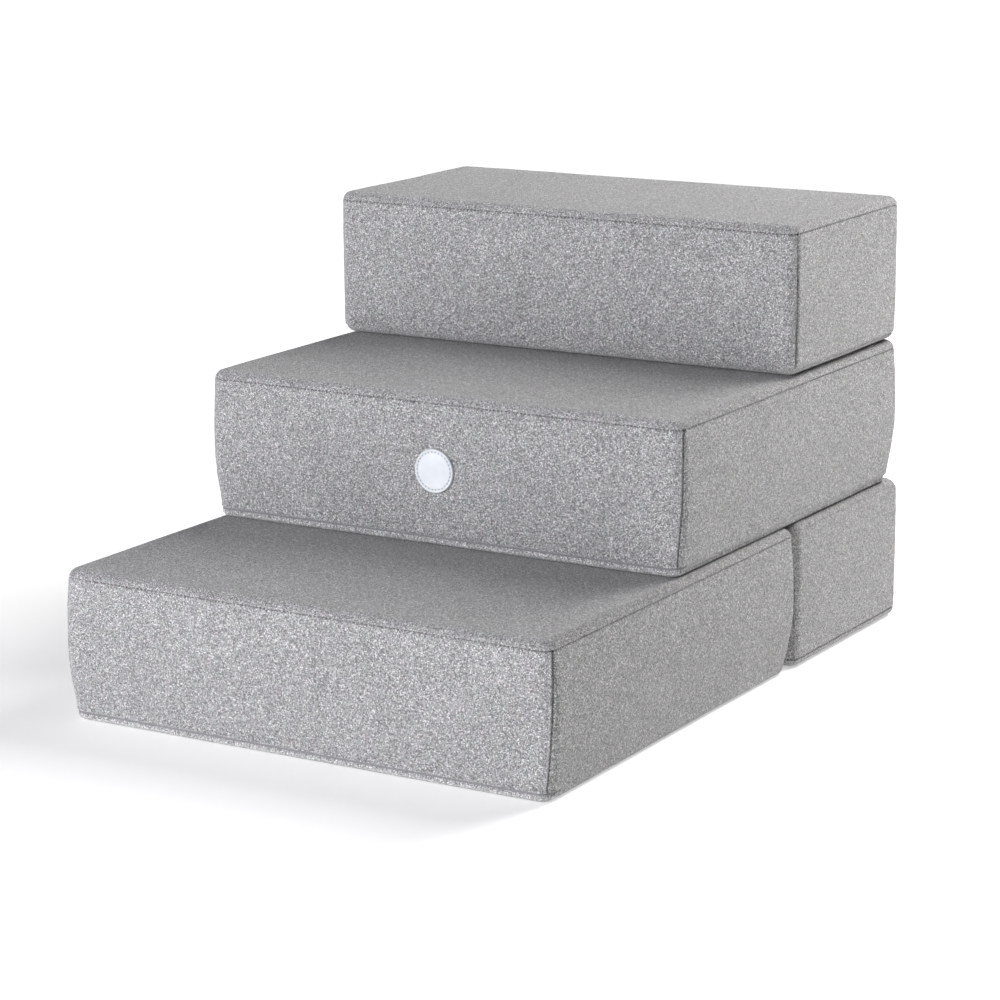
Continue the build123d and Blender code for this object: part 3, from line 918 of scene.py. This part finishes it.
def ring_quads(rings, sides):
    """The quads between each closed ring of points and the next, for rings of that many points."""
    i, k = (a.ravel() for a in np.meshgrid(np.arange(rings - 1), np.arange(sides), indexing="ij"))
    after = (k + 1) % sides
    corners = [i * sides + k, (i + 1) * sides + k, (i + 1) * sides + after, i * sides + after]
    return np.column_stack(corners).tolist()


def wall_path(block, z):
    """The cover's points along its zip's slit at height z, their normals, and how open the slit is there."""
    grid, points = block.surface
    row = int(np.argmin(np.abs(grid.axes[2] - z)))
    level = grid.index[:, :, row]
    if block.large:
        chosen = np.concatenate([level[0, ::-1], level[1:, 0], level[-1, 1:]])
    else:
        chosen = level[:, -1]
    share = slit_share(block, grid.points[chosen]) if block.large else np.ones(len(chosen))
    return points[chosen], normals_of(points, grid.faces)[chosen], share


def build_zip_coil(block):
    """A zip's coil in its slit: a band with two rows of teeth."""
    slit = SLIT_MIDDLE if block.large else block.seam_z - ZIP_SEAM_DROP
    path, out, share = wall_path(block, slit)
    out[:, 2] = 0
    out /= np.linalg.norm(out, axis=1)[:, None]
    travelled = np.concatenate([[0], np.cumsum(np.linalg.norm(np.diff(path, axis=0), axis=1))])
    margin = 16 * MM
    stations = np.arange(margin, travelled[-1] - margin, TOOTH_PITCH / 3)
    centre = np.column_stack([np.interp(stations, travelled, path[:, k]) for k in range(3)])
    normal = np.column_stack([np.interp(stations, travelled, out[:, k]) for k in range(3)])
    shown = np.interp(stations, travelled, share)
    depth = 0.5 * MM * shown - 1.2 * MM * (1 - shown)
    rings = []
    for up, proud in COIL_PROFILE:
        turn = stations * 2 * math.pi / TOOTH_PITCH + (math.pi if up > 0 else 0)
        tooth = 0.35 * MM * np.sin(turn) * (proud > 0)
        shift = depth + proud * 0.5 * MM + tooth
        rings.append(centre + normal * shift[:, None] + np.array([0, 0, up * MM]))
    count, sides = len(stations), len(COIL_PROFILE)
    points = np.stack(rings, axis=1).reshape(-1, 3)
    caps = [list(range(sides)), [(count - 1) * sides + j for j in reversed(range(sides))]]
    faces = ring_quads(count, sides) + caps
    obj = mesh_object(f"{block.name}_zip_teeth", points, faces)
    finish_piece(obj, "zip_coil", block.name, f"{block.name}_zip_coil")


GRIP_PITCH = 14 * MM
GRIP_RADIUS = 2.2 * MM
GRIP_SIDES = 8


def build_grip_dots(block):
    """Rubber dots under a base."""
    reach = block.half - 26 * MM
    counts = [2 * int(n / GRIP_PITCH) + 1 for n in reach]
    xs, ys = ((np.arange(n) - (n - 1) / 2) * GRIP_PITCH for n in counts)
    turns = np.arange(GRIP_SIDES) * 2 * math.pi / GRIP_SIDES
    ring = np.column_stack([np.cos(turns), np.sin(turns)])
    base = block.height if block.upside_down else 0.0
    sign = -1 if block.upside_down else 1
    dot = np.concatenate([
        np.column_stack([ring * GRIP_RADIUS, np.full(GRIP_SIDES, base + sign * (GRIP_HEIGHT + 0.2 * MM))]),
        np.column_stack([ring * GRIP_RADIUS * 0.7, np.full(GRIP_SIDES, base + sign * 0.15 * MM)]),
        [[0, 0, base]],
    ])
    points, faces = [], []
    for x in xs:
        for y in ys:
            start = len(points) * len(dot)
            points.append(dot + [x, y, 0])
            for k in range(GRIP_SIDES):
                after = (k + 1) % GRIP_SIDES
                faces.append([start + k, start + GRIP_SIDES + k, start + GRIP_SIDES + after, start + after])
                faces.append([start + GRIP_SIDES + k, start + 2 * GRIP_SIDES, start + GRIP_SIDES + after])
            faces.append([start + k for k in range(GRIP_SIDES)])
    obj = mesh_object(f"{block.name}_grip_dots", block.placed(np.concatenate(points)), faces)
    finish_piece(obj, "base_fabric", block.name)


STITCH_RING = 17.6 * MM
STITCH_COUNT = 30


def build_patch():
    """The round leather patch on the middle step's front, and the thread that holds it."""
    low, high = (Vector(corner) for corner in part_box("patch"))
    middle, radius = (low + high) / 2, (high.x - low.x) / 2
    thickness = high.y - low.y
    points = middle_step.surface[1]
    on_front = points[:, 1] < middle_step.low.y + 15 * MM
    near = np.hypot(points[:, 0] - middle.x, points[:, 2] - middle.z) < radius
    wall = points[on_front & near][:, 1].mean() - 0.3 * MM

    sectors = STITCH_COUNT * 8
    radii = np.concatenate([np.linspace(1.0 * MM, 15 * MM, 12), np.linspace(15.5 * MM, radius, 22)])
    angles = np.arange(sectors) * 2 * math.pi / sectors
    pitch = 2 * math.pi / STITCH_COUNT
    to_hole = np.abs((angles / pitch + 0.5) % 1 - 0.5) * pitch * STITCH_RING
    r, hole_gap = np.meshgrid(radii, to_hole, indexing="ij")
    turn = np.meshgrid(radii, angles, indexing="ij")[1]
    # Needle holes: a dip in the leather, and painted shade in them for the material
    hole = bump_at(r - STITCH_RING, 0.55 * MM) * bump_at(hole_gap, 0.6 * MM)
    edge = np.sqrt(np.clip(1 - (1 - np.clip((radius - r) / (0.9 * MM), 0, 1)) ** 2, 0, 1))
    height = thickness * (0.35 + 0.65 * edge) + 0.2 * MM * (1 - (r / radius) ** 2)
    height -= 0.3 * MM * bump_at(r - STITCH_RING, 0.9 * MM) + 0.6 * MM * hole
    height += 0.15 * MM * bump_at(r - 19.4 * MM, 0.6 * MM)

    def on_face(r, turn, height):
        return np.column_stack([
            (middle.x + r * np.cos(turn)).ravel(),
            (wall - height).ravel(),
            (middle.z + r * np.sin(turn)).ravel(),
        ])

    skirt = on_face(np.full(sectors, radius), angles, np.full(sectors, -0.6 * MM))
    summit = [[middle.x, wall - thickness - 0.2 * MM, middle.z]]
    points = np.concatenate([on_face(r, turn, height), skirt, summit])
    rows = len(radii) + 1
    centre = len(points) - 1
    fan = [[centre, k, (k + 1) % sectors] for k in range(sectors)]
    back = [[(rows - 1) * sectors + k for k in reversed(range(sectors))]]
    obj = mesh_object("patch_leather_disc", points, ring_quads(rows, sectors) + fan + back)
    set_values(obj, "needle_hole_shade", np.concatenate([hole.ravel(), np.zeros(sectors + 1)]))
    finish_piece(obj, "patch_leather", "middle_step", "patch")

    # Thread: one short arched stitch from each hole to the next
    steps, sides, thread_radius = 8, 6, 0.32 * MM
    points, faces = [], []
    for stitch in range(STITCH_COUNT):
        share = np.linspace(0.14, 0.86, steps)
        turn = (stitch + share) * pitch
        arch = np.sin(math.pi * np.linspace(0, 1, steps))
        centre_height = thickness - 0.25 * MM + 0.38 * MM * arch
        ring_radius = STITCH_RING + 0.25 * MM * (share - 0.5)
        for k in range(sides):
            around = 2 * math.pi * k / sides
            girth = thread_radius * (0.55 + 0.45 * arch)
            up = centre_height + girth * np.sin(around)
            points.append(on_face(ring_radius + girth * np.cos(around), turn, up))
        start = stitch * steps * sides
        for k in range(sides):
            after = (k + 1) % sides
            for j in range(steps - 1):
                a, b = start + k * steps + j, start + after * steps + j
                faces.append([a, b, b + 1, a + 1])
        faces.append([start + k * steps for k in reversed(range(sides))])
        faces.append([start + k * steps + steps - 1 for k in range(sides)])
    obj = mesh_object("patch_thread", np.concatenate(points), faces)
    finish_piece(obj, "patch_thread", "middle_step", "patch_stitching")


# ---- The object's pieces ----

lower_step = Block("lower_step", True, False, 1)
middle_step = Block("middle_step", True, False, 2)
top_step = Block("top_step", False, False, 3)
rear_base = Block("rear_base", False, True, 4)
BLOCKS = (lower_step, middle_step, top_step, rear_base)


def covered_from(block):
    """Where along a block's own depth the block above it starts to cover it, if one does."""
    above = {"lower_step": middle_step, "middle_step": top_step}.get(block.name)
    return above.low.y - (block.low.y + block.high.y) / 2 if above else None


def inflation(block):
    """A block's coarse grid, and how far its points move when the cover is pressed tight."""
    coarse = block.grid(fine=False)
    points = block.shaped(coarse.points)
    return coarse, inflate(coarse, points, block.half, block.height, CROWN_SHARE, CROWN_CAP)


inflations = {True: inflation(lower_step), False: inflation(top_step)}
for block in BLOCKS:
    coarse, shifts = inflations[block.large]
    build_cushion(block, coarse, shifts, covered_from(block))
for block in BLOCKS:
    build_foam(block)
    build_zip_coil(block)
    if block is not top_step:
        build_grip_dots(block)
build_fastening_strips()
build_hinge_tapes()
build_patch()

for name, obj in frame["nodes"].items():
    slot_name = next(p["material_slot"] for p in frame["record"]["subparts"] if p["node"] == name)
    obj.data.materials.clear()
    obj.data.materials.append(MATERIALS[slot_name])

# ---- Floor, light and camera ----

CAMERA_PLACE = (1.512, -2.547, 0.855)
CAMERA_AZIMUTH = 30.78
CAMERA_ELEVATION = 13.21
CAMERA_ROLL = -0.35
CAMERA_LENS = 115.94
FLOOR_RADIUS = 300
WORLD_LIGHT = 0.05


def build_floor():
    low = (0, 0, -0.6 * MM)
    bpy.ops.mesh.primitive_circle_add(vertices=96, radius=FLOOR_RADIUS, fill_type="NGON", location=low)
    floor = bpy.context.object
    floor.name = "floor"
    n = Nodes("floor")
    place = n.add("ShaderNodeNewGeometry").outputs["Position"]
    away = n.vector("LENGTH", {0: place}).outputs["Value"]
    reach = {"Value": away, "From Min": 0.9, "From Max": 2.5, "To Min": 0.42, "To Max": 1.0}
    glow = n.add("ShaderNodeMapRange", reach)
    n.shade({"Base Color": grey(0.9), "Roughness": 0.9, "Emission Color": grey(1), "Emission Strength": glow})
    floor.data.materials.append(n.material)


def area_light(name, place, target, size, power, colour=(1, 1, 1)):
    data = bpy.data.lights.new(name, "AREA")
    data.shape = "DISK"
    data.size = size
    data.energy = power
    data.color = colour
    light = linked_object(name, data)
    light.location = place
    light.rotation_mode = "QUATERNION"
    light.rotation_quaternion = (Vector(target) - Vector(place)).to_track_quat("-Z", "Y")


def build_lights():
    world = bpy.data.worlds.new("studio")
    world.use_nodes = True
    tree = world.node_tree
    background = tree.nodes["Background"]
    background.inputs["Color"].default_value = (1, 1, 1, 1)
    # White where it is seen past the floor's edge, and dim as a light
    seen = tree.nodes.new("ShaderNodeLightPath").outputs["Is Camera Ray"]
    strength = tree.nodes.new("ShaderNodeMapRange")
    strength.inputs["To Min"].default_value = WORLD_LIGHT
    tree.links.new(seen, strength.inputs["Value"])
    tree.links.new(strength.outputs["Result"], background.inputs["Strength"])
    bpy.context.scene.world = world
    area_light("key", (-1.2, -3.2, 1.0), (0, 0, 0.15), 1.6, 101, (0.955, 0.95, 1.0))
    area_light("rear_top", (0.75, 1.75, 1.75), (0.1, 0.2, 0.4), 1.0, 36, (1.0, 0.985, 0.98))
    area_light("top_right", (0.7, 0.75, 1.65), (0.25, 0.2, 0.4), 0.7, 13.5, (1.0, 0.985, 0.98))


def build_camera():
    data = bpy.data.cameras.new("camera")
    data.lens = CAMERA_LENS
    data.sensor_width = 36
    camera = linked_object("camera", data)
    camera.location = CAMERA_PLACE
    azimuth, elevation = math.radians(CAMERA_AZIMUTH), math.radians(CAMERA_ELEVATION)
    level = Euler((math.pi / 2 - elevation, 0, azimuth)).to_matrix()
    roll = Euler((0, 0, math.radians(CAMERA_ROLL))).to_matrix()
    camera.rotation_euler = (level @ roll).to_euler()
    bpy.context.scene.camera = camera


build_floor()
build_lights()
build_camera()
bpy.context.scene.view_settings.view_transform = "Standard"
